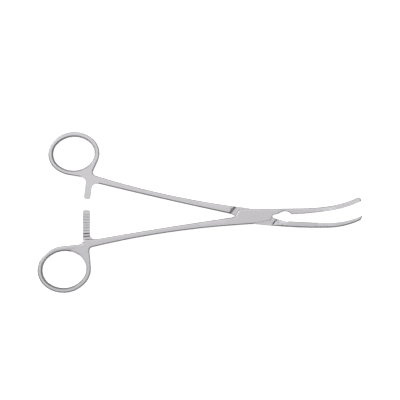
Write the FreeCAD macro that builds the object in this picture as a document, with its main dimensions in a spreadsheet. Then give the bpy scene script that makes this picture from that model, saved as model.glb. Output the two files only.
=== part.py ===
import FreeCAD, Part
import math
import os
import re
import Sketcher

# Box-lock forceps with finger rings, ratchet arms and curved jaws, lying flat.
# Both halves are drawn in one frame: the closed instrument, with the lock's axis on Z,
# the jaws towards +X and the middle of the thickness at Z = 0.
# Lengths are in millimetres and angles in degrees.

os.makedirs("parts", exist_ok=True)
doc = FreeCAD.newDocument("box_lock_forceps")
sheet = doc.addObject("Spreadsheet::Sheet", "dims")

sizes = {
    # lock
    "box_width": 9.4,
    "box_thick": 5.4,
    "blank_spare": 1.0,
    "tang_thick": 2.5,
    "tang_play": 0.06,
    "hub_inset": 0.05,
    "wall_play": 0.15,
    "pin_radius": 1.4,
    "pin_play": 0.03,
    "cheek_tail": 12.1,
    "cheek_top": 8.9,
    "cheek_nose": 11.8,
    "cheek_chin": 10.2,
    "cheek_chin_drop": 2.6,
    "cheek_step": 1.1,
    "cheek_step_drop": 3.75,
    "cheek_slant": 0.3,
    "cheek_top_rise": 0.1,
    "crotch_rise": 0.05,
    "crotch_round": 2.0,
    "cheek_round": 1.6,
    "shoulder_tail": 12.25,
    "shoulder_nose": 11.4,
    "shoulder_lean": 55.0,
    "shoulder_slope": 30.0,
    "stop_spare": 1.0,
    # motion and the way the part lies
    "box_turn": 1.9,
    "rest_open": 7.5,
    "full_open": 37.5,
    # shanks
    "shank_thick": 3.5,
    "taper_tail": 34.0,
    "taper_nose": 17.0,
    "taper_ease": 60.0,
    "root_reach": 14.0,
    "root_inner": 0.12,
    "inner_bow": 2200.0,
    "outer_bow": 540.0,
    "tail_front": 5.8,
    "tail_inner": 10.5,
    "tail_bend": 12.0,
    "corner_reach": 102.3,
    "corner_out": 16.2,
    "corner_round": 2.2,
    "edge_roll": 1.0,
    "roll_share": 0.46,
    # finger rings
    "ring_band": 3.2,
    "ring_ease": 1.0,
    "ease_share": 0.33,
    "box_ring_back": 16.0,
    "box_ring_out": 28.9,
    "box_ring_long": 27.0,
    "box_ring_wide": 22.7,
    "box_ring_end": 9.9,
    "box_ring_tilt": 5.8,
    "tang_ring_back": 12.3,
    "tang_ring_out": 27.8,
    "tang_ring_long": 25.5,
    "tang_ring_wide": 20.7,
    "tang_ring_end": 8.8,
    "tang_ring_tilt": 9.7,
    # ratchet arms
    "arm_back": 1.5,
    "arm_tilt": 2.0,
    "arm_gap": 0.06,
    "arm_root": 11.0,
    "web_corner": 13.4,
    "web_round": 0.8,
    "web_foot": 10.6,
    "web_edge": 1.9,
    "arm_flare": 3.0,
    "arm_round": 1.2,
    "foot_front": 4.0,
    "foot_back": 4.2,
    "foot_top": 1.6,
    "foot_deep": 4.0,
    "foot_front_drop": 0.42,
    "foot_root_drop": 0.2,
    "web_tuck": 0.15,
    "web_rise": 0.65,
    "web_deep": 2.5,
    "box_arm_width": 4.4,
    "box_arm_end": 7.5,
    "tang_arm_width": 3.95,
    "tang_arm_end": 0.8,
    "tooth_pitch": 0.922,
    "tooth_depth": 0.75,
    "tooth_heel": 0.3,
    "box_teeth": 9,
    "box_teeth_start": 1.89,
    "tang_teeth": 5,
    "tang_teeth_start": 1.58,
    # jaws
    "jaw_reach": 67.2,
    "jaw_bevel": 15.5,
    "jaw_bevel_end": 21.5,
    "jaw_root_thick": 4.2,
    "bevel_ease": 8.0,
    "jaw_waist": 38.5,
    "jaw_waist_thick": 4.1,
    "jaw_mid_thick": 2.8,
    "jaw_tip_thick": 2.2,
    "tip_round": 1.8,
    "face_start": 23.1,
    "face_root": 0.55,
    "face_slant": 0.2,
    "face_bend": 48.0,
    "face_root_bow": 250.0,
    "face_tip_bow": 62.0,
    "box_tip_inner": 7.55,
    "box_tip_outer": 10.3,
    "tip_lean": 1.25,
    "back_start": 32.0,
    "back_bend": 50.0,
    "back_root_bow": 110.0,
    "back_tip_bow": 57.0,
    "scallop_bow": 5.6,
    "scallop_tail": 15.6,
    "scallop_rise": 1.4,
    "scallop_drop": 0.3,
    "nose_rise": 0.6,
    "tang_face_start": 21.5,
    "tang_face_root": 0.75,
    "tang_face_bend": 46.0,
    "tang_face_root_bow": 335.0,
    "tang_face_tip_bow": 52.0,
    "tang_tip_inner": 7.4,
    "tang_tip_outer": 4.25,
    "tang_tip_lean": 0.95,
    "tang_back_start": 10.0,
    "tang_back_bend": 47.0,
    "tang_back_root_bow": 300.0,
    "tang_back_tip_bow": 47.0,
    "peak_step": 0.6,
    "grip_pitch": 1.0,
    "grip_depth": 0.28,
    "grip_wide": 0.74,
    "grip_grooves": 19,
}

for row, (name, size) in enumerate(sizes.items(), start=1):
    sheet.set(f"A{row}", str(size))
    sheet.setAlias(f"A{row}", name)
doc.recompute()

ALIAS = re.compile(r"(?<![.\w])(" + "|".join(sorted(sizes, key=len, reverse=True)) + r")(?!\w)")


def bound(text):
    """Expression text with each size named as a cell of the sheet."""
    return ALIAS.sub(r"dims.\1", text)


def number(text):
    """Value that an expression has now."""
    return float(sheet.evalExpression(bound(text)))


class RoundArc:
    """Arc of a round path, between two directions seen from its centre."""

    def __init__(self, reach, out, radius, low, high, loose=False):
        self.texts = (reach, out, radius)
        self.x, self.y, self.radius = (number(text) for text in self.texts)
        self.low = low
        self.high = high
        self.loose = loose

    def holds(self, angle):
        return (angle - self.low) % math.tau <= self.high - self.low

    def at(self, angle):
        return self.x + self.radius * math.cos(angle), self.y + self.radius * math.sin(angle)

    def touch(self, point, turn):
        """Direction of the spot where a line from an outside point touches; turn picks one of two."""
        along = point[0] - self.x
        across = point[1] - self.y
        away = math.hypot(along, across)
        if away <= self.radius:
            return None
        return math.atan2(across, along) + turn * math.acos(self.radius / away)

    def add(self, sketch, first, last, at_end):
        """Adds the arc; a loose centre is found by its neighbours, or by one of them at an end."""
        reach, out, radius = self.texts
        low, high = min(first, last), max(first, last)
        arc = Part.ArcOfCircle(circle_at(self.x, self.y, self.radius), low, high)
        geo = sketch.addGeometry(arc, False)
        rules = [(Sketcher.Constraint("Radius", geo, self.radius), radius)]
        if not self.loose:
            rules += point_rules(geo, 3, reach, out)
        elif at_end:
            rules += point_rules(geo, 3, reach)
        piece = (geo, 1, 2) if first < last else (geo, 2, 1)
        return piece, rules


class RoundPath:
    """Closed smooth path of arcs, listed anticlockwise, that an outline follows between two lines."""

    def __init__(self, arcs):
        self.arcs = arcs

    def touch(self, point, turn):
        """Number of the arc that a line from the point touches, and the direction of that spot."""
        for index, arc in enumerate(self.arcs):
            angle = arc.touch(point, turn)
            if angle is not None and arc.holds(angle):
                return index, angle
        raise ValueError("no arc is touched")

    def stretch(self, first, last, onward):
        """Arcs passed from one spot to another: (arc, from, to), anticlockwise when onward."""
        step = 1 if onward else -1
        index, angle = first
        passed = []
        while True:
            arc = self.arcs[index]
            run = (last[1] - angle) * step % math.tau
            rest = ((arc.high if onward else arc.low) - angle) * step % math.tau
            if index == last[0] and (run <= rest or len(self.arcs) == 1):
                passed.append((arc, angle, angle + step * run))
                return passed
            passed.append((arc, angle, angle + step * rest))
            index = (index + step) % len(self.arcs)
            angle = self.arcs[index].low if onward else self.arcs[index].high


def circle_at(x, y, radius):
    return Part.Circle(FreeCAD.Vector(x, y, 0), FreeCAD.Vector(0, 0, 1), radius)


def point_rules(geo, end, x, y=None):
    """Constraints that hold a point at the place that two expressions give."""
    rules = [(Sketcher.Constraint("DistanceX", -1, 1, geo, end, number(x)), x)]
    if y is not None:
        rules.append((Sketcher.Constraint("DistanceY", -1, 1, geo, end, number(y)), y))
    return rules


def hold(sketch, rules):
    """Adds the constraints at once, binds their sizes and solves the sketch."""
    first = sketch.ConstraintCount
    sketch.addConstraint([rule for rule, text in rules])
    for index, (rule, text) in enumerate(rules, start=first):
        if text:
            sketch.setExpression(f"Constraints[{index}]", bound(text))
    if sketch.solve() != 0:
        raise ValueError(f"{sketch.Name} can't be solved")


def new_sketch(body, name, role="XY_Plane"):
    sketch = body.newObject("Sketcher::SketchObject", name)
    plane = next(item for item in body.Origin.OriginFeatures if item.Role == role)
    sketch.AttachmentSupport = [(plane, "")]
    sketch.MapMode = "FlatFace"
    return sketch


class Side:
    """One side of an outline: a line, or an arc with its bulge on the right (1) or left (-1)."""

    def __init__(self, start, end, radius=None, bulge=1, text=None):
        self.start = FreeCAD.Vector(*start, 0)
        self.end = FreeCAD.Vector(*end, 0)
        self.radius = radius
        self.bulge = bulge
        self.text = text
        if radius:
            chord = self.end - self.start
            height = math.sqrt(radius ** 2 - (chord.Length / 2) ** 2)
            across = FreeCAD.Vector(-chord.y, chord.x, 0).normalize()
            self.centre = (self.start + self.end) / 2 + across * (bulge * height)

    def heading(self, place):
        """Direction of travel at one of its ends."""
        if not self.radius:
            return (self.end - self.start).normalize()
        spoke = place - self.centre
        return FreeCAD.Vector(-spoke.y, spoke.x, 0).normalize() * self.bulge

    def nearest(self, point):
        """Point of the side, or of its full circle, beside another point."""
        if not self.radius:
            return point
        return self.centre + (point - self.centre).normalize() * self.radius

    def angle(self, point):
        return math.atan2(point.y - self.centre.y, point.x - self.centre.x)

    def add(self, sketch):
        """Adds the geometry and gives its number with its first and last point."""
        if not self.radius:
            return sketch.addGeometry(Part.LineSegment(self.start, self.end), False), 1, 2
        circle = circle_at(self.centre.x, self.centre.y, self.radius)
        first = self.angle(self.start)
        last = self.angle(self.end)
        if self.bulge > 0:
            return sketch.addGeometry(Part.ArcOfCircle(circle, first, last), False), 1, 2
        return sketch.addGeometry(Part.ArcOfCircle(circle, last, first), False), 2, 1


def side_chain(nodes, places):
    """Sides of an outline in order; each entry holds the sides between two nodes."""
    chain = []
    for index, (x, y, options) in enumerate(nodes):
        start = places[index]
        end = places[(index + 1) % len(nodes)]
        if "path" in options:
            path = options["path"]
            first = path.touch(start, options["wrap"])
            last = path.touch(end, -options["wrap"])
            arriving = Side(start, path.arcs[first[0]].at(first[1]))
            leaving = Side(path.arcs[last[0]].at(last[1]), end)
            passed = path.stretch(first, last, options["wrap"] > 0)
            chain.append([arriving, *passed, leaving])
        elif "bow" in options:
            radius = number(options["bow"])
            chain.append([Side(start, end, radius, options["bulge"], options["bow"])])
        else:
            chain.append([Side(start, end)])
    return chain


def corner_arc(before, after, radius, text):
    """Arc that rounds the corner between two sides, which are cut back to its ends."""
    corner = after.start
    arriving = before.heading(corner)
    leaving = after.heading(corner)
    turn = math.atan2(arriving.cross(leaving).z, arriving.dot(leaving))
    setback = radius * math.tan(abs(turn) / 2)
    before.end = before.nearest(corner - arriving * setback)
    after.start = after.nearest(corner + leaving * setback)
    start = (before.end.x, before.end.y)
    end = (after.start.x, after.start.y)
    return Side(start, end, radius, 1 if turn > 0 else -1, text)


def draw(sketch, nodes):
    """Closed outline through the nodes. A node is (x, y, options), and its options are

    round   radius of the corner,
    smooth  the outline has no corner here, only x is held, and y is a first guess,
    bow     radius of the side that follows, with its bulge to the right (1) or left (-1),
    path    RoundPath that the side follows between two tangents, wrap 1 anticlockwise or -1.
    """
    places = [(number(x), number(y)) for x, y, options in nodes]
    chain = side_chain(nodes, places)
    arcs = {}
    for index, (x, y, options) in enumerate(nodes):
        if "round" in options:
            radius = number(options["round"])
            arcs[index] = corner_arc(chain[index - 1][-1], chain[index][0], radius, options["round"])

    rules = []
    spans = []
    for sides in chain:
        span = []
        for side in sides:
            if isinstance(side, Side):
                piece = side.add(sketch)
                if side.text:
                    rules.append((Sketcher.Constraint("Radius", piece[0], side.radius), side.text))
            else:
                arc, first, last = side
                at_end = len(span) in (1, len(sides) - 2)
                piece, arc_rules = arc.add(sketch, first, last, at_end)
                rules += arc_rules
            if span:
                rules.append((tangent(span[-1], piece), None))
            span.append(piece)
        spans.append(span)

    for index, (x, y, options) in enumerate(nodes):
        before = spans[index - 1][-1]
        after = spans[index][0]
        if index in arcs:
            point = sketch.addGeometry(Part.Point(FreeCAD.Vector(*places[index], 0)), True)
            arc = arcs[index].add(sketch)
            rules += point_rules(point, 1, x, y)
            rules.append((Sketcher.Constraint("PointOnObject", point, 1, before[0]), None))
            rules.append((Sketcher.Constraint("PointOnObject", point, 1, after[0]), None))
            rules.append((Sketcher.Constraint("Radius", arc[0], arcs[index].radius), arcs[index].text))
            rules.append((tangent(before, arc), None))
            rules.append((tangent(arc, after), None))
        elif "smooth" in options:
            rules.append((tangent(before, after), None))
            rules += point_rules(after[0], after[1], x)
        else:
            joined = Sketcher.Constraint("Coincident", before[0], before[2], after[0], after[1])
            rules.append((joined, None))
            rules += point_rules(after[0], after[1], x, y)
    hold(sketch, rules)
    return sketch


def tangent(before, after):
    """Constraint that joins two pieces end to end with no corner."""
    return Sketcher.Constraint("Tangent", before[0], before[2], after[0], after[1])


def mark_centre(sketch, geo):
    """Measures where the centre of an arc came out, as centre_x and centre_y."""
    for axis in ("X", "Y"):
        index = sketch.addConstraint(Sketcher.Constraint(f"Distance{axis}", -1, 1, geo, 3, 1.0))
        sketch.setDriving(index, False)
        sketch.renameConstraint(index, f"centre_{axis.lower()}")
    return sketch


def pad(body, name, sketch, length, midplane=True):
    feature = body.newObject("PartDesign::Pad", name)
    feature.Profile = sketch
    feature.Midplane = midplane
    feature.setExpression("Length", bound(length))
    doc.recompute()
    return feature


def pocket(body, name, sketch, length):
    """Cut to both sides of its sketch; it has to take material away."""
    before = body.Shape.Volume
    feature = body.newObject("PartDesign::Pocket", name)
    feature.Profile = sketch
    feature.Midplane = True
    feature.setExpression("Length", bound(length))
    doc.recompute()
    if body.Shape.Volume > before - 1e-3:
        raise ValueError(f"{name} cuts nothing")
    return feature


def perimeter_edges(shape, wanted):
    """Edges between a wall that stands on the plan and a face that closes it."""
    names = []
    for index, edge in enumerate(shape.Edges, start=1):
        faces = shape.ancestorsOfType(edge, Part.Face)
        walls = [face for face in faces if abs(face_normal(face).z) < 1e-3]
        if len(faces) != 2 or len(walls) != 1:
            continue
        middle = edge.valueAt((edge.FirstParameter + edge.LastParameter) / 2)
        if wanted(middle, face_normal(walls[0])):
            names.append(f"Edge{index}")
    return names


def face_normal(face):
    u_low, u_high, v_low, v_high = face.ParameterRange
    return face.normalAt((u_low + u_high) / 2, (v_low + v_high) / 2)


def dress_edges(body, name, size, wanted, kind="Fillet"):
    """Rounds the wanted edges of the plan, or breaks them with a flat when the kind is Chamfer."""
    edges = perimeter_edges(body.Shape, wanted)
    base = body.Tip
    feature = body.newObject(f"PartDesign::{kind}", name)
    feature.Base = (base, edges)
    feature.setExpression("Radius" if kind == "Fillet" else "Size", bound(size))
    doc.recompute()
    if not feature.isValid():
        raise ValueError(f"{name} doesn't fit")
    return feature


def ring_path(name, side, rim="0"):
    """Inner edge of a finger ring, an oval of four arcs, or its outer edge when a rim is given."""
    long = f"({name}_ring_long / 2)"
    wide = f"({name}_ring_wide / 2)"
    end = f"{name}_ring_end"
    flank = f"(({long} ^ 2 + {wide} ^ 2 - 2 * {long} * {end}) / (2 * ({wide} - {end})))"
    tilt = f"{name}_ring_tilt"
    lean = math.radians(number(tilt))
    half = math.atan2(number(f"{flank} - {wide}"), number(f"{long} - {end}"))
    arcs = []
    for quarter in range(4):
        run = (f"({long} - {end})", "0", f"-({long} - {end})", "0")[quarter]
        rise = ("0", f"-({flank} - {wide})", "0", f"({flank} - {wide})")[quarter]
        radius = end if quarter % 2 == 0 else flank
        open_half = half if quarter % 2 == 0 else math.pi / 2 - half
        middle = lean + quarter * math.pi / 2
        arcs.append(RoundArc(
            f"-corner_reach - {name}_ring_back + {run} * cos({tilt}) - {rise} * sin({tilt})",
            f"{side} * {name}_ring_out + {run} * sin({tilt}) + {rise} * cos({tilt})",
            f"{radius} + {rim}",
            middle - open_half,
            middle + open_half,
            loose=quarter % 2 == 1,
        ))
    return RoundPath(arcs)


def handle_nodes(name, side):
    """Shank, web and ring, from the root of the shank outside to its root inside."""
    arm_side = f"-{ARM} - {name}_arm_width / 2 + {side} * arm_root * tan(arm_tilt)"
    ring = {"round": "corner_round", "path": ring_path(name, side, "ring_band"), "wrap": side}
    tail = {"round": "tail_bend", "bow": "inner_bow", "bulge": side}
    return [
        ("-root_reach", f"{side} * 5.5", {"smooth": 1, "bow": "outer_bow", "bulge": -side}),
        ("-corner_reach", f"{side} * corner_out", ring),
        (arm_side, f"{side} * web_corner", {"round": "web_round"}),
        (arm_side, f"{side} * web_foot", {"round": "web_edge"}),
        ("-corner_reach + tail_front", f"{side} * tail_inner", tail),
    ]


# radius of the tang's round middle, reach of the ratchet arms, and roll that the thin tips can take
HUB = "box_width / 2 - hub_inset"
ARM = "(corner_reach + arm_back)"
ROLL = "min(edge_roll; roll_share * jaw_tip_thick)"


def box_outline(body):
    """Plan of the box half: jaw face, root of the jaw, cheek, shank, ring and back of the jaw."""
    nodes = [
        ("jaw_reach", "box_tip_inner", {"bow": "face_tip_bow", "bulge": -1}),
        ("face_bend", "2.1", {"smooth": 1, "bow": "face_root_bow", "bulge": -1}),
        ("face_start", "face_root", {}),
        ("face_start - face_slant", "scallop_rise - scallop_drop", {"bow": "scallop_bow", "bulge": 1}),
        ("scallop_tail", "scallop_rise", {}),
        ("cheek_nose", "nose_rise", {}),
        ("cheek_chin", "-cheek_chin_drop", {}),
        ("cheek_step", "-cheek_step_drop", {}),
        ("cheek_step - cheek_slant", "-box_width / 2", {}),
    ]
    nodes += handle_nodes("box", -1)
    nodes += [
        ("-cheek_tail", "crotch_rise", {"round": "crotch_round"}),
        ("-cheek_top", "box_width / 2 + cheek_top_rise", {"round": "cheek_round"}),
        ("back_start", "4.3", {"smooth": 1, "bow": "back_root_bow", "bulge": 1}),
        ("back_bend", "5.7", {"smooth": 1, "bow": "back_tip_bow", "bulge": 1}),
        ("jaw_reach - tip_lean", "box_tip_outer", {"round": "tip_round"}),
    ]
    return mark_centre(draw(new_sketch(body, "box_outline"), nodes), 0)


def tang_outline(body):
    """Plan of the tang half, with the tang wrapped round the hub at the lock's axis."""
    hub = RoundPath([RoundArc("0", "0", HUB, -math.pi, math.pi)])
    nodes = [
        ("jaw_reach", "tang_tip_inner", {"bow": "tang_face_tip_bow", "bulge": -1}),
        ("tang_face_bend", "0.4", {"smooth": 1, "bow": "tang_face_root_bow", "bulge": -1}),
        ("tang_face_start", "-tang_face_root", {}),
        ("tang_face_start - face_slant", "-tang_face_root - peak_step", {}),
        ("root_reach", "-root_inner", {"path": hub, "wrap": 1}),
    ]
    nodes += handle_nodes("tang", 1)
    nodes += [
        ("-root_reach", "root_inner", {"path": hub, "wrap": 1}),
        ("tang_back_start", "-4.6", {"smooth": 1, "bow": "tang_back_root_bow", "bulge": 1}),
        ("tang_back_bend", "-2.4", {"smooth": 1, "bow": "tang_back_tip_bow", "bulge": 1}),
        ("jaw_reach - tang_tip_lean", "tang_tip_outer", {"round": "tip_round"}),
    ]
    return mark_centre(draw(new_sketch(body, "tang_outline"), nodes), 0)


def thin_out(body, name):
    """Side view: flat box, shank thinner behind it, jaw thinner in front of it."""
    sketch = new_sketch(body, f"{name}_side_view", "XZ_Plane")
    for side in (1, -1):
        draw(sketch, [
            ("-2 * corner_reach", f"{side} * shank_thick / 2", {}),
            ("-taper_tail", f"{side} * shank_thick / 2", {"round": "taper_ease"}),
            ("-taper_nose", f"{side} * box_thick / 2", {"round": "taper_ease"}),
            ("jaw_bevel", f"{side} * box_thick / 2", {"round": "bevel_ease"}),
            ("jaw_bevel_end", f"{side} * jaw_root_thick / 2", {"round": "bevel_ease"}),
            ("jaw_waist", f"{side} * jaw_waist_thick / 2", {"round": "taper_ease"}),
            ("back_bend", f"{side} * jaw_mid_thick / 2", {"round": "taper_ease"}),
            ("jaw_reach", f"{side} * jaw_tip_thick / 2", {}),
            ("2 * jaw_reach", f"{side} * jaw_tip_thick / 2", {}),
            ("2 * jaw_reach", f"{side} * box_thick", {}),
            ("-2 * corner_reach", f"{side} * box_thick", {}),
        ])
    pocket(body, f"{name}_thickness", sketch, "4 * corner_reach")


def ring_hole(body, name, side):
    sketch = new_sketch(body, f"{name}_ring_hole")
    rules = []
    pieces = []
    for arc in ring_path(name, side).arcs:
        piece, arc_rules = arc.add(sketch, arc.low, arc.high, False)
        rules += arc_rules
        pieces.append(piece)
    rules += [(tangent(pieces[index - 1], piece), None) for index, piece in enumerate(pieces)]
    hold(sketch, rules)
    pocket(body, f"{name}_finger_hole", sketch, "2 * box_thick")
    x = number(f"-corner_reach - {name}_ring_back")
    y = number(f"{side} * {name}_ring_out")
    inner = number(f"({name}_ring_long + ring_band) / 2")

    def on_hole(point, normal):
        return math.hypot(point.x - x, point.y - y) < inner

    dress_edges(body, f"{name}_hole_ease", "min(ring_ease; ease_share * ring_band)", on_hole, "Chamfer")


def pin_hole(body, name, radius):
    sketch = new_sketch(body, f"{name}_pin_circle")
    geo = sketch.addGeometry(circle_at(0, 0, number(radius)), False)
    centred = Sketcher.Constraint("Coincident", geo, 3, -1, 1)
    hold(sketch, [(centred, None), (Sketcher.Constraint("Radius", geo, number(radius)), radius)])
    pocket(body, f"{name}_pin_hole", sketch, "2 * box_thick")


def arm(body, name, side):
    """Ratchet arm in one half of the thickness, with its foot inside the web."""
    middle = f"-{ARM} + ({{}}) * tan(arm_tilt)"
    half_width = f"{name}_arm_width / 2"
    root = f"{side} * arm_root"
    end = "box_arm_end" if side < 0 else "tang_arm_end"
    foot = f"{side} * (arm_root + foot_deep)"
    sketch = new_sketch(body, f"{name}_arm_plan")
    sketch.setExpression("AttachmentOffset.Base.z", bound(f"{side} * arm_gap"))
    right = f"{middle} + {half_width}"
    left = f"{middle} - {half_width}"
    draw(sketch, [
        (f"{right.format(root)} + foot_front", f"{side} * (arm_root + foot_top)", {}),
        (f"{right.format(root)} + foot_front", f"{side} * (arm_root - foot_front_drop)", {}),
        (right.format(root), f"{side} * (arm_root - foot_root_drop)", {"round": "arm_flare"}),
        (right.format(end), end, {"round": "arm_round"}),
        (left.format(end), end, {"round": "arm_round"}),
        (left.format(root), f"{side} * (web_corner - web_tuck)", {"round": "arm_flare"}),
        (f"{left.format(root)} - foot_back", f"{side} * (web_corner + web_rise)", {}),
        (left.format(foot), f"{side} * (web_corner + web_deep)", {}),
    ])
    feature = pad(body, f"{name}_arm", sketch, "shank_thick / 2 - arm_gap", midplane=False)
    if side < 0:
        feature.Reversed = True
        doc.recompute()


def ratchet_teeth(body, name, side):
    """Saw teeth across the arm, radial to the lock's axis, each cut by the same leaning notch."""
    start = f"{name}_teeth_start"
    run = f"({ARM} * tooth_pitch * 1 deg / 1 rad - tooth_heel)"
    sketch = new_sketch(body, f"{name}_tooth_gap", "YZ_Plane")
    turned = FreeCAD.Rotation(FreeCAD.Vector(0, 1, 0), -number(start))
    sketch.AttachmentOffset = FreeCAD.Placement(FreeCAD.Vector(0, 0, 0), turned)
    sketch.setExpression("AttachmentOffset.Rotation.Angle", bound(f"-{start}"))
    sketch.setExpression("AttachmentOffset.Base.x", bound(f"{ARM} * sin({start})"))
    sketch.setExpression("AttachmentOffset.Base.z", bound(f"-{ARM} * cos({start})"))
    crest = f"{side} * arm_gap"
    clear = f"{side} * (arm_gap - tooth_depth)"
    floor = f"{side} * (arm_gap + tooth_depth)"
    steep = run if side < 0 else "0"
    gentle = "0" if side < 0 else run
    draw(sketch, [
        (gentle, crest, {}),
        (steep, floor, {}),
        (steep, clear, {}),
        (gentle, clear, {}),
    ])
    gap = pocket(body, f"{name}_tooth_cut", sketch, f"{name}_arm_width * 2")
    pattern = body.newObject("PartDesign::PolarPattern", f"{name}_teeth")
    pattern.Originals = [gap]
    axis = next(item for item in body.Origin.OriginFeatures if item.Role == "Z_Axis")
    pattern.Axis = (axis, [""])
    pattern.Reversed = side > 0
    pattern.setExpression("Angle", bound(f"tooth_pitch * ({name}_teeth - 1)"))
    pattern.setExpression("Occurrences", bound(f"{name}_teeth"))
    body.Tip = pattern
    doc.recompute()


def jaw_grip(body, name, bend, bow, side):
    """Grooves across the gripping face, along its front arc from the bend towards the tip."""
    sketch = new_sketch(body, f"{name}_groove")
    centre = f"{name}_outline.Constraints.centre_"
    turn = bound(f"asin(({bend} + grip_pitch / 2 - {centre}x / 1 mm) / {bow})")
    turned = FreeCAD.Rotation(FreeCAD.Vector(0, 0, 1), float(sheet.evalExpression(turn)))
    sketch.AttachmentOffset = FreeCAD.Placement(FreeCAD.Vector(0, 0, 0), turned)
    sketch.setExpression("AttachmentOffset.Rotation.Angle", turn)
    sketch.setExpression("AttachmentOffset.Base.x", centre + "x")
    sketch.setExpression("AttachmentOffset.Base.y", centre + "y")
    draw(sketch, [
        ("-grip_wide * grip_pitch / 2", f"-{bow}", {}),
        ("-grip_wide * grip_pitch / 2", f"-{bow} - {side} * grip_depth", {}),
        ("grip_wide * grip_pitch / 2", f"-{bow} - {side} * grip_depth", {}),
        ("grip_wide * grip_pitch / 2", f"-{bow}", {}),
        ("0", f"-{bow} + {side} * grip_depth", {}),
    ])
    groove = pocket(body, f"{name}_groove_cut", sketch, "box_thick")
    pattern = body.newObject("PartDesign::PolarPattern", f"{name}_grip")
    pattern.Originals = [groove]
    pattern.Axis = (sketch, ["N_Axis"])
    pattern.setExpression("Angle", bound(f"(grip_grooves - 1) * grip_pitch / {bow} * 1 rad / 1 deg"))
    pattern.setExpression("Occurrences", bound("grip_grooves"))
    body.Tip = pattern
    doc.recompute()


def box_half():
    body = doc.addObject("PartDesign::Body", "BoxHalf")
    body.Label = "box_half"
    pad(body, "box_blank", box_outline(body), "box_thick + blank_spare")
    thin_out(body, "box")

    def back_and_handle(point, normal):
        tip = point.x > number("face_bend") and normal.x > 0.6
        return point.x < number("cheek_step - cheek_slant") or normal.y > 0.1 or tip

    dress_edges(body, "box_roll", ROLL, back_and_handle)
    ring_hole(body, "box", -1)
    box_slot(body)
    pin_hole(body, "box", "pin_radius")
    arm(body, "box", -1)
    ratchet_teeth(body, "box", -1)
    jaw_grip(body, "box", "face_bend", "face_tip_bow", 1)
    return body


def box_slot(body):
    """Slot for the tang: a bow tie in plan, whose walls meet the tang when it is fully open."""
    hub = f"({HUB} + wall_play)"
    lean = f"asin({hub} / root_reach) / 1 deg"
    opened = "(full_open + stop_spare)"
    turn = f"(({opened} + {lean}) / 2)"
    far = f"{hub} / cos(({opened} - {lean}) / 2)"
    corner_x = f"{far} * sin({turn})"
    corner_y = f"{far} * cos({turn})"
    clear_x = f"box_width * cos({opened}) - {corner_x}"
    clear_y = f"box_width * sin({opened}) + {corner_y}"
    start_y = "wall_play - root_inner"
    nodes = [
        ("-root_reach", f"-({start_y})", {}),
        (f"-{corner_x}", f"-{corner_y}", {}),
        (clear_x, f"-({clear_y})", {}),
        ("root_reach", start_y, {}),
        (corner_x, corner_y, {}),
        (f"-({clear_x})", clear_y, {}),
    ]
    sketch = draw(new_sketch(body, "slot_plan"), nodes)
    pocket(body, "lock_slot", sketch, "tang_thick + 2 * tang_play")


def tang_half():
    body = doc.addObject("PartDesign::Body", "TangHalf")
    body.Label = "tang_half"
    pad(body, "tang_blank", tang_outline(body), "box_thick + blank_spare")
    thin_out(body, "tang")

    def back_and_handle(point, normal):
        hub = point.x < -number("pin_radius") and normal.y > 0
        handle = point.x < -number("root_reach")
        jaw_back = point.x > 0 and normal.y < -0.1
        tip = point.x > number("face_bend") and normal.x > 0.6
        return hub or handle or jaw_back or tip

    dress_edges(body, "tang_roll", ROLL, back_and_handle)
    ring_hole(body, "tang", 1)
    tang_flats(body)
    pin_hole(body, "tang", "pin_radius + pin_play")
    arm(body, "tang", 1)
    ratchet_teeth(body, "tang", 1)
    jaw_grip(body, "tang", "tang_face_bend", "tang_face_tip_bow", -1)
    return body


def tang_flats(body):
    """Both faces of the tang, cut down between two shoulders that lean in plan and slope in height."""
    sketch = new_sketch(body, "tang_flats", "XZ_Plane")
    turned = FreeCAD.Rotation(FreeCAD.Vector(0, 1, 0), number("shoulder_lean - 90"))
    sketch.AttachmentOffset = FreeCAD.Placement(FreeCAD.Vector(0, 0, 0), turned)
    sketch.setExpression("AttachmentOffset.Rotation.Angle", bound("shoulder_lean - 90"))
    widening = "(box_thick - tang_thick / 2) * tan(shoulder_slope)"
    for side in (1, -1):
        draw(sketch, [
            ("-shoulder_tail", f"{side} * tang_thick / 2", {}),
            ("shoulder_nose", f"{side} * tang_thick / 2", {}),
            (f"shoulder_nose + {widening}", f"{side} * box_thick", {}),
            (f"-shoulder_tail - {widening}", f"{side} * box_thick", {}),
        ])
    pocket(body, "tang_faces", sketch, "4 * box_width")


def lock_pin():
    pin = doc.addObject("Part::Cylinder", "LockPin")
    pin.Label = "lock_pin"
    pin.setExpression("Radius", bound("pin_radius"))
    pin.setExpression("Height", bound("box_thick"))
    return pin


def place(piece, height, turn):
    turned = FreeCAD.Rotation(FreeCAD.Vector(0, 0, 1), number(turn))
    piece.Placement = FreeCAD.Placement(FreeCAD.Vector(0, 0, 0), turned)
    piece.setExpression("Placement.Base.z", bound(height))
    piece.setExpression("Placement.Rotation.Angle", bound(turn))


pieces = [box_half(), tang_half(), lock_pin()]
place(pieces[0], "box_thick / 2", "box_turn")
place(pieces[1], "box_thick / 2", "box_turn - rest_open")
place(pieces[2], "0", "box_turn")
doc.recompute()

for item in doc.Objects:
    if "Invalid" in item.State or "Error" in item.State:
        raise ValueError(f"{item.Name} failed")
for piece in pieces:
    if piece.Shape.isNull() or not piece.Shape.isValid():
        raise ValueError(f"{piece.Label} is not a valid solid")
    print(piece.Label, len(piece.Shape.Solids), round(piece.Shape.Volume, 2), piece.Shape.BoundBox)
    piece.Shape.exportStep(f"parts/{piece.Label}.step")
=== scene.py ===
import math
import bmesh
import bpy
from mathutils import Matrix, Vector
from mathutils.bvhtree import BVHTree


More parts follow.
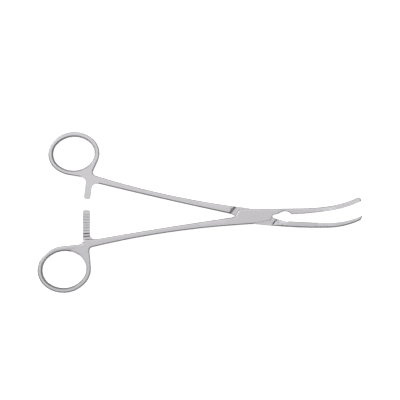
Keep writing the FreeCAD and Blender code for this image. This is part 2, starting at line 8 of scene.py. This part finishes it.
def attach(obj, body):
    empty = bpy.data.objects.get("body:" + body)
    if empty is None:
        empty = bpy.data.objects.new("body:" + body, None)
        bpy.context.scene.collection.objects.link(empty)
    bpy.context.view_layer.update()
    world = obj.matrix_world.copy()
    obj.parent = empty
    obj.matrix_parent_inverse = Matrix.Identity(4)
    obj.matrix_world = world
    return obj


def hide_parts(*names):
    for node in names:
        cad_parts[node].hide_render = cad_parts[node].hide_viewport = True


# dissecting forceps with a box lock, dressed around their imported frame
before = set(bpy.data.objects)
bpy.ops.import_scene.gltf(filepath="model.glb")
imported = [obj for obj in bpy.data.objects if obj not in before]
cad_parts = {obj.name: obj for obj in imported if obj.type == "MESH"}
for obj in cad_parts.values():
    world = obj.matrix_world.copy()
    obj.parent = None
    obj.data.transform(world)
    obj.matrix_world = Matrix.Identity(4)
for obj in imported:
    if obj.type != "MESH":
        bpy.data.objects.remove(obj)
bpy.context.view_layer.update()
scene = bpy.context.scene
mm = 0.001


# linear colour from an sRGB hex code
def linearColour(code):
    channels = [int(code[i:i + 2], 16) / 255 for i in (1, 3, 5)]
    return tuple(c / 12.92 if c <= 0.04045 else ((c + 0.055) / 1.055) ** 2.4 for c in channels) + (1.0,)


# adds a node at a place, with its settings; its inputs are values, or sockets to link from
def addNode(tree, kind, place, inputs=(), **settings):
    node = tree.nodes.new(kind)
    node.location = place
    for name, value in settings.items():
        setattr(node, name, value)
    for key, value in dict(inputs).items():
        if isinstance(value, bpy.types.NodeSocket):
            tree.links.new(value, node.inputs[key])
        else:
            node.inputs[key].default_value = value
    return node


# a material and its empty tree
def emptyMaterial(name):
    material = bpy.data.materials.new(name)
    material.use_nodes = True
    material.node_tree.nodes.clear()
    return material, material.node_tree


steel = {
    "colour": "#CCCACD",
    "roughness": 0.27,
    "roughnessSpread": 0.06,
    "grainLength": 14.0,     # mm, along the instrument
    "grainWidth": 0.09,      # mm, across it, coarser than real grain so that it shows from near
    "grainDepth": 0.003,     # mm
    "blotch": 9.0,           # mm, slow change of the finish
    "tintSpread": 0.02,      # how much the blotches darken or lighten the colour
    "ripple": 5.0,           # mm, faint waves left by the hand finish
    "rippleDetail": 1.0,
    "rippleDepth": 0.005,    # mm
    "wearWidth": 0.20,       # mm, how far the wear and the rounding reach in from an edge
    "wearRays": 6,           # how many look for an edge from each point
    "wearFrom": 0.985,       # cosine of the rounding at which the wear starts
    "wearFull": 0.90,        # and at which it is full
    "wearShine": 0.10,       # how much smoother the worn edge is
    "wearColour": "#E2DEE1",
    "pinClear": 2.6,         # mm, the flush pin has no worn rim this close to the lock axis
}


# mask that is 1 on an edge and 0 away from it, and the normal rounded over that edge
def edgeWear(tree, place):
    rounded = addNode(tree, "ShaderNodeBevel", (-1100, -500), {"Radius": steel["wearWidth"] * mm},
                      samples=steel["wearRays"])
    plain = addNode(tree, "ShaderNodeNewGeometry", (-1100, -700))
    agree = addNode(tree, "ShaderNodeVectorMath", (-900, -600),
                    {0: rounded.outputs["Normal"], 1: plain.outputs["Normal"]}, operation="DOT_PRODUCT")
    mask = addNode(tree, "ShaderNodeMapRange", (-700, -600), {
        "Value": agree.outputs["Value"], "From Min": steel["wearFrom"], "From Max": steel["wearFull"]})
    level = addNode(tree, "ShaderNodeVectorMath", (-1100, -900), {0: place, 1: (1, 1, 0)},
                    operation="MULTIPLY")
    reach = addNode(tree, "ShaderNodeVectorMath", (-900, -900), {0: level.outputs["Vector"]},
                    operation="LENGTH")
    away = addNode(tree, "ShaderNodeMath", (-700, -900),
                   {0: reach.outputs["Value"], 1: steel["pinClear"] * mm}, operation="GREATER_THAN")
    worn = addNode(tree, "ShaderNodeMath", (-500, -700),
                   {0: mask.outputs["Result"], 1: away.outputs["Value"]}, operation="MULTIPLY")
    normal = addNode(tree, "ShaderNodeMix", (-500, -900), {
        0: away.outputs["Value"], 4: plain.outputs["Normal"], 5: rounded.outputs["Normal"]},
        data_type="VECTOR")
    return worn.outputs["Value"], normal.outputs[1]


# forged stainless steel, ground and rubbed to a satin: it gives the eye a fine grain along the instrument,
# slow clouds in its shine, faint waves, and edges that handling has polished
def satinSteel():
    material, tree = emptyMaterial("SatinStainlessSteel")
    place = addNode(tree, "ShaderNodeTexCoord", (-1300, 0)).outputs["Object"]
    across = 1 / (steel["grainWidth"] * mm)
    grainPlace = addNode(tree, "ShaderNodeMapping", (-1100, 200), {
        "Vector": place, "Scale": (1 / (steel["grainLength"] * mm), across, across)})
    grain = addNode(tree, "ShaderNodeTexNoise", (-900, 200), {
        "Vector": grainPlace.outputs["Vector"], "Scale": 1.0})
    ripple = addNode(tree, "ShaderNodeTexNoise", (-900, 450), {
        "Vector": place, "Scale": 1 / (steel["ripple"] * mm), "Detail": steel["rippleDetail"]})
    blotch = addNode(tree, "ShaderNodeTexNoise", (-900, -100), {
        "Vector": place, "Scale": 1 / (steel["blotch"] * mm)})
    worn, rounded = edgeWear(tree, place)
    rough = addNode(tree, "ShaderNodeMapRange", (-650, -100), {
        "Value": blotch.outputs["Fac"],
        "To Min": steel["roughness"] - steel["roughnessSpread"] / 2,
        "To Max": steel["roughness"] + steel["roughnessSpread"] / 2})
    shine = addNode(tree, "ShaderNodeMath", (-450, -300), {0: worn, 1: steel["wearShine"]},
                    operation="MULTIPLY")
    finish = addNode(tree, "ShaderNodeMath", (-300, -200),
                     {0: rough.outputs["Result"], 1: shine.outputs["Value"]}, operation="SUBTRACT")
    shade = addNode(tree, "ShaderNodeMapRange", (-650, -350), {
        "Value": blotch.outputs["Fac"], "To Min": 1 - steel["tintSpread"], "To Max": 1 + steel["tintSpread"]})
    tint = addNode(tree, "ShaderNodeVectorMath", (-450, -450), {
        0: linearColour(steel["colour"])[:3], "Scale": shade.outputs["Result"]}, operation="SCALE")
    colour = addNode(tree, "ShaderNodeMix", (-250, -450), {
        0: worn, 6: tint.outputs["Vector"], 7: linearColour(steel["wearColour"])}, data_type="RGBA")
    wave = addNode(tree, "ShaderNodeBump", (-650, 400), {
        "Height": ripple.outputs["Fac"], "Normal": rounded, "Distance": steel["rippleDepth"] * mm})
    bump = addNode(tree, "ShaderNodeBump", (-450, 200), {
        "Height": grain.outputs["Fac"], "Normal": wave.outputs["Normal"],
        "Distance": steel["grainDepth"] * mm})
    shader = addNode(tree, "ShaderNodeBsdfPrincipled", (0, 0), {
        "Base Color": colour.outputs[2], "Roughness": finish.outputs["Value"], "Metallic": 1.0,
        "Normal": bump.outputs["Normal"]})
    addNode(tree, "ShaderNodeOutputMaterial", (300, 0), {"Surface": shader.outputs["BSDF"]})
    return material


rivet = {
    "colour": "#CBC9CC",
    "roughness": 0.28,
    "ring": 1.005,           # mm, from one turning mark to the next, wider than on a real one
    "ringDepth": 0.003,      # mm, so shallow that the marks hardly show, even from near
    "ringWander": 0.4,       # how unevenly the marks run
}


# stainless rivet, its end turned flush: it gives the eye a smooth disc where the grain of the steel stops
def turnedSteel():
    material, tree = emptyMaterial("TurnedRivetSteel")
    place = addNode(tree, "ShaderNodeTexCoord", (-900, 0)).outputs["Object"]
    nodeTurn = 20            # radians that the wave node turns in one unit
    rings = addNode(tree, "ShaderNodeTexWave", (-700, 0), {
        "Vector": place, "Scale": 2 * math.pi / (nodeTurn * rivet["ring"] * mm),
        "Distortion": rivet["ringWander"]}, wave_type="RINGS", rings_direction="Z")
    bump = addNode(tree, "ShaderNodeBump", (-450, 0), {
        "Height": rings.outputs["Fac"], "Distance": rivet["ringDepth"] * mm})
    shader = addNode(tree, "ShaderNodeBsdfPrincipled", (-200, 0), {
        "Base Color": linearColour(rivet["colour"]), "Roughness": rivet["roughness"], "Metallic": 1.0,
        "Normal": bump.outputs["Normal"]})
    addNode(tree, "ShaderNodeOutputMaterial", (100, 0), {"Surface": shader.outputs["BSDF"]})
    return material


edges = {
    "weld": 0.02,            # mm, corners closer than this are one
    "flatAngle": 0.1,        # degrees, faces this close to one plane become one face
    "crispAngle": 28.0,      # degrees, an edge that turns more than this is crisp
    "brokenAngle": 60.0,     # degrees, and one that turns more than this is broken, or stays crisp
    "break": 0.32,           # mm, how far it is broken
    "share": 0.42,           # of the room beside an edge, at most
    "sideSine": 0.5,         # sine of the angle from which the next edge is counted as beside it
    "piece": 1.2,            # mm, long edges are cut this short, so that a bevel can run out
    "runOut": 3.0,           # mm, over which a bevel runs out
    "flatArea": 4.0,         # mm2, a face larger than this is a broad flat
    "flatTurn": 2.0,         # degrees, flats that meet at more than this keep their line
    "flatWeight": 100,       # 50 is neutral, and more lets large faces rule the shading
    "strayLimit": 0.16,      # mm, a corner of a bevel further off the form than this is a fault
    "strayReach": 0.8,       # mm, edges this near a fault are left crisp
    "strayTries": 4,         # how often faults are looked for, at most
    "teethFrom": -98.0,      # mm, the ratchet arms lie left of this
    "teethReach": 16.5,      # mm, and this near the middle line
    "middleHeight": 2.7,     # mm, where the two arms meet, with their teeth
    "teethHeight": 1.6,      # mm, edges this near that height belong to the teeth
    "groovesFrom": 44.0,     # mm, the gripping part of the jaws starts here
    "pinClear": 2.0,         # mm, no broken edge this close to the lock axis
    "stepFrom": 20.0,        # mm, the narrow step where the tang runs into its jaw
    "stepTo": 21.6,
}


# teeth, gripping grooves, the pin hole and the narrow step of the tang keep sharp edges
def staysCrisp(name, middle):
    x, y = middle.x / mm, middle.y / mm
    onArm = x < edges["teethFrom"] and abs(y) < edges["teethReach"]
    atTeeth = onArm and abs(middle.z / mm - edges["middleHeight"]) < edges["teethHeight"]
    atStep = name == "tang_half" and edges["stepFrom"] < x < edges["stepTo"]
    return atTeeth or atStep or x > edges["groovesFrom"] or math.hypot(x, y) < edges["pinClear"]


# shortest way that the faces beside an edge leave for its bevel
def roomBeside(edge):
    room = math.inf
    along = (edge.verts[1].co - edge.verts[0].co).normalized()
    for loop in edge.link_loops:
        for other in (loop.link_loop_prev.edge, loop.link_loop_next.edge):
            across = (other.verts[1].co - other.verts[0].co).cross(along).length
            if across > edges["sideSine"] * other.calc_length():
                room = min(room, across)
    return room


# the CAD mesh with its triangles joined into flat faces, and its sharpest edges cut short
def joinedForm(name):
    form = bmesh.new()
    form.from_mesh(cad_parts[name].data)
    bmesh.ops.remove_doubles(form, verts=form.verts, dist=edges["weld"] * mm)
    bmesh.ops.dissolve_limit(
        form, angle_limit=math.radians(edges["flatAngle"]), verts=form.verts, edges=form.edges)
    for edge in [e for e in form.edges if math.degrees(e.calc_face_angle(0)) > edges["brokenAngle"]]:
        cuts = int(edge.calc_length() / mm / edges["piece"])
        if cuts:
            bmesh.ops.bisect_edges(form, edges=[edge], cuts=cuts)
    form.edges.index_update()
    form.edges.layers.float.new("bevel_weight_edge")
    return form


# what share of the full bevel each edge wants, and the corners that stay crisp; other crisp edges are marked
def chooseEdges(form, name):
    wanted = {}
    stops = []
    for edge in form.edges:
        turn = math.degrees(edge.calc_face_angle(0))
        if turn < edges["crispAngle"]:
            continue
        middle = (edge.verts[0].co + edge.verts[1].co) / 2
        if turn > edges["brokenAngle"] and not staysCrisp(name, middle):
            wanted[edge.index] = min(1.0, edges["share"] * roomBeside(edge) / mm / edges["break"])
            continue
        edge.smooth = False
        if turn > edges["brokenAngle"]:
            stops += [(vert.co.copy(), 0.0) for vert in edge.verts]
    return wanted, stops


# writes the bevel widths: each one runs out towards the places that stay crisp
def easeBevels(piece, wanted, stops):
    weights = piece.data.attributes["bevel_weight_edge"].data
    verts = piece.data.vertices
    for index, share in wanted.items():
        edge = piece.data.edges[index]
        middle = (verts[edge.vertices[0]].co + verts[edge.vertices[1]].co) / 2
        clear = min(((middle - at).length - reach for at, reach in stops), default=math.inf) / mm
        weights[index].value = share * max(0.0, min(1.0, clear / edges["runOut"]))
        edge.use_edge_sharp = weights[index].value == 0
    piece.data.update()


# takes the bevel off where the form leaves it no room, so that no corner strays
def leaveFaultsCrisp(piece, surface, wanted, stops):
    for attempt in range(edges["strayTries"]):
        easeBevels(piece, wanted, stops)
        finished = piece.evaluated_get(bpy.context.evaluated_depsgraph_get())
        faults = []
        for vert in finished.to_mesh().vertices:
            onSurface, _, _, away = surface.find_nearest(vert.co)
            if away > edges["strayLimit"] * mm:
                faults.append((onSurface, away + edges["strayReach"] * mm))
        finished.to_mesh_clear()
        print(piece.name, "bevel faults", len(faults))
        if not faults:
            break
        stops = stops + faults


# two broad flats that meet at a slight angle keep their line
def keepFlatsApart(mesh):
    form = bmesh.new()
    form.from_mesh(mesh)
    for edge in form.edges:
        areas = [face.calc_area() for face in edge.link_faces]
        broad = len(areas) == 2 and min(areas) > edges["flatArea"] * mm * mm
        if broad and edge.calc_face_angle(0) > math.radians(edges["flatTurn"]):
            edge.smooth = False
    form.to_mesh(mesh)
    form.free()


# a half with its crisp edges broken, as a hand finish leaves them; it stands for the CAD node
def finishedHalf(name, body):
    form = joinedForm(name)
    wanted, stops = chooseEdges(form, name)
    surface = BVHTree.FromBMesh(form)
    mesh = bpy.data.meshes.new(name + "Finished")
    form.to_mesh(mesh)
    form.free()
    mesh.polygons.foreach_set("use_smooth", [True] * len(mesh.polygons))
    piece = bpy.data.objects.new(name + "_finished", mesh)
    scene.collection.objects.link(piece)
    bevel = piece.modifiers.new("BrokenEdges", "BEVEL")
    bevel.limit_method = "WEIGHT"
    bevel.width = edges["break"] * mm
    bevel.segments = 1
    bevel.use_clamp_overlap = False
    leaveFaultsCrisp(piece, surface, wanted, stops)
    finished = piece.evaluated_get(bpy.context.evaluated_depsgraph_get())
    piece.data = bpy.data.meshes.new_from_object(finished)
    piece.data.set_sharp_from_angle(angle=math.radians(edges["crispAngle"]))
    keepFlatsApart(piece.data)
    piece.modifiers.clear()
    shading = piece.modifiers.new("FlatFacesStayFlat", "WEIGHTED_NORMAL")
    shading.weight = edges["flatWeight"]
    shading.keep_sharp = True
    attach(piece, body)
    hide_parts(name)
    return piece


# the halves share one steel; the rivet is the CAD node itself, with its own
def dress():
    satin = satinSteel()
    for name, body in (("box_half", "box_side"), ("tang_half", "tang_side")):
        finishedHalf(name, body).data.materials.append(satin)
    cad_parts["lock_pin"].material_slots[0].material = turnedSteel()


floor = {
    "colour": "#F4F4F4",
    "size": 6.0,             # m
    "depth": 0.05,           # mm, how far it lies under the instrument
    "glow": 0.8,             # what it adds to its light, seen by the camera or mirrored in the steel
}


# pale floor that shows white, and keeps the soft shadow
def layFloor():
    half = floor["size"] / 2
    corners = [(-half, -half), (half, -half), (half, half), (-half, half)]
    mesh = bpy.data.meshes.new("Floor")
    mesh.from_pydata([(x, y, -floor["depth"] * mm) for x, y in corners], [], [(0, 1, 2, 3)])
    ground = bpy.data.objects.new("Floor", mesh)
    scene.collection.objects.link(ground)
    material, tree = emptyMaterial("PaleFloor")
    paint = addNode(tree, "ShaderNodeBsdfDiffuse", (-400, 0), {"Color": linearColour(floor["colour"])})
    glow = addNode(tree, "ShaderNodeEmission", (-400, -200), {"Strength": floor["glow"]})
    lit = addNode(tree, "ShaderNodeAddShader", (-200, -100), {
        0: paint.outputs["BSDF"], 1: glow.outputs["Emission"]})
    path = addNode(tree, "ShaderNodeLightPath", (-800, 300))
    seen = path.outputs["Is Camera Ray"]
    for place, ray in ((-600, "Is Glossy Ray"), (-400, "Is Transmission Ray")):
        either = addNode(tree, "ShaderNodeMath", (place, 300), {0: seen, 1: path.outputs[ray]},
                         operation="MAXIMUM")
        seen = either.outputs["Value"]
    mix = addNode(tree, "ShaderNodeMixShader", (0, 0), {
        "Fac": seen, 1: paint.outputs["BSDF"], 2: lit.outputs["Shader"]})
    addNode(tree, "ShaderNodeOutputMaterial", (200, 0), {"Surface": mix.outputs["Shader"]})
    mesh.materials.append(material)


softbox = {
    "strength": 1.47,
    "side": (-0.14, 0.42, 0.90),   # where its middle is, from the part
    "inner": 0.95,                 # cosine of the angle from its middle where it starts to fade
    "outer": 0.68,                 # and where it has faded
    "room": 0.26,                  # strength of the rest of the room
}
lamps = {                          # powers in W, sizes and places in m
    "LeftWindow": {"power": 2.1, "size": 0.6, "place": (-0.9, 0.45, 0.55), "aim": (-0.02, 0, 0)},
    "JawGlint": {"power": 0.25, "size": 0.12, "place": (0.47, 0.0, 1.22), "aim": (0.03, 0, 0)},
}


# square lamp at its place, turned to its aim
def hangLamp(name, lamp):
    data = bpy.data.lights.new(name, "AREA")
    data.shape = "SQUARE"
    data.size = lamp["size"]
    data.energy = lamp["power"]
    light = bpy.data.objects.new(name, data)
    light.location = lamp["place"]
    way = Vector(lamp["aim"]) - Vector(lamp["place"])
    light.rotation_euler = way.to_track_quat("-Z", "Y").to_euler()
    scene.collection.objects.link(light)


# a broad soft light above in a dimmer room, and the lamps
def lightStudio():
    world = bpy.data.worlds.new("Studio")
    world.use_nodes = True
    tree = world.node_tree
    tree.nodes.clear()
    coords = addNode(tree, "ShaderNodeTexCoord", (-900, 0))
    toward = addNode(tree, "ShaderNodeVectorMath", (-700, 0), {
        0: coords.outputs["Generated"], 1: Vector(softbox["side"]).normalized()}, operation="DOT_PRODUCT")
    fade = addNode(tree, "ShaderNodeMapRange", (-500, 0), {
        "Value": toward.outputs["Value"], "From Min": softbox["outer"], "From Max": softbox["inner"],
        "To Min": softbox["room"], "To Max": softbox["strength"]}, interpolation_type="SMOOTHSTEP")
    dome = addNode(tree, "ShaderNodeBackground", (-250, 0), {"Strength": fade.outputs["Result"]})
    addNode(tree, "ShaderNodeOutputWorld", (0, 0), {"Surface": dome.outputs["Background"]})
    scene.world = world
    for name, lamp in lamps.items():
        hangLamp(name, lamp)


camera = {
    "photoCentre": (-33.3, 10.2),   # mm, what lies in the middle of the photo
    "photoWidth": 246.8,            # mm, across the photo at the top of the lock
    "lens": 100.0,                  # mm
    "sensor": 36.0,                 # mm
    "height": 5.4,                  # mm, top of the lock
}


# an unturned camera looks straight down, as the photo does
def placeCamera():
    data = bpy.data.cameras.new("PhotoCamera")
    data.lens = camera["lens"]
    data.sensor_width = camera["sensor"]
    distance = camera["photoWidth"] * mm * data.lens / data.sensor_width
    eye = bpy.data.objects.new("PhotoCamera", data)
    x, y = camera["photoCentre"]
    eye.location = (x * mm, y * mm, camera["height"] * mm + distance)
    scene.collection.objects.link(eye)
    scene.camera = eye


print("steel halves and rivet")
dress()
print("floor")
layFloor()
print("light")
lightStudio()
print("camera")
placeCamera()
scene.view_settings.view_transform = "Standard"
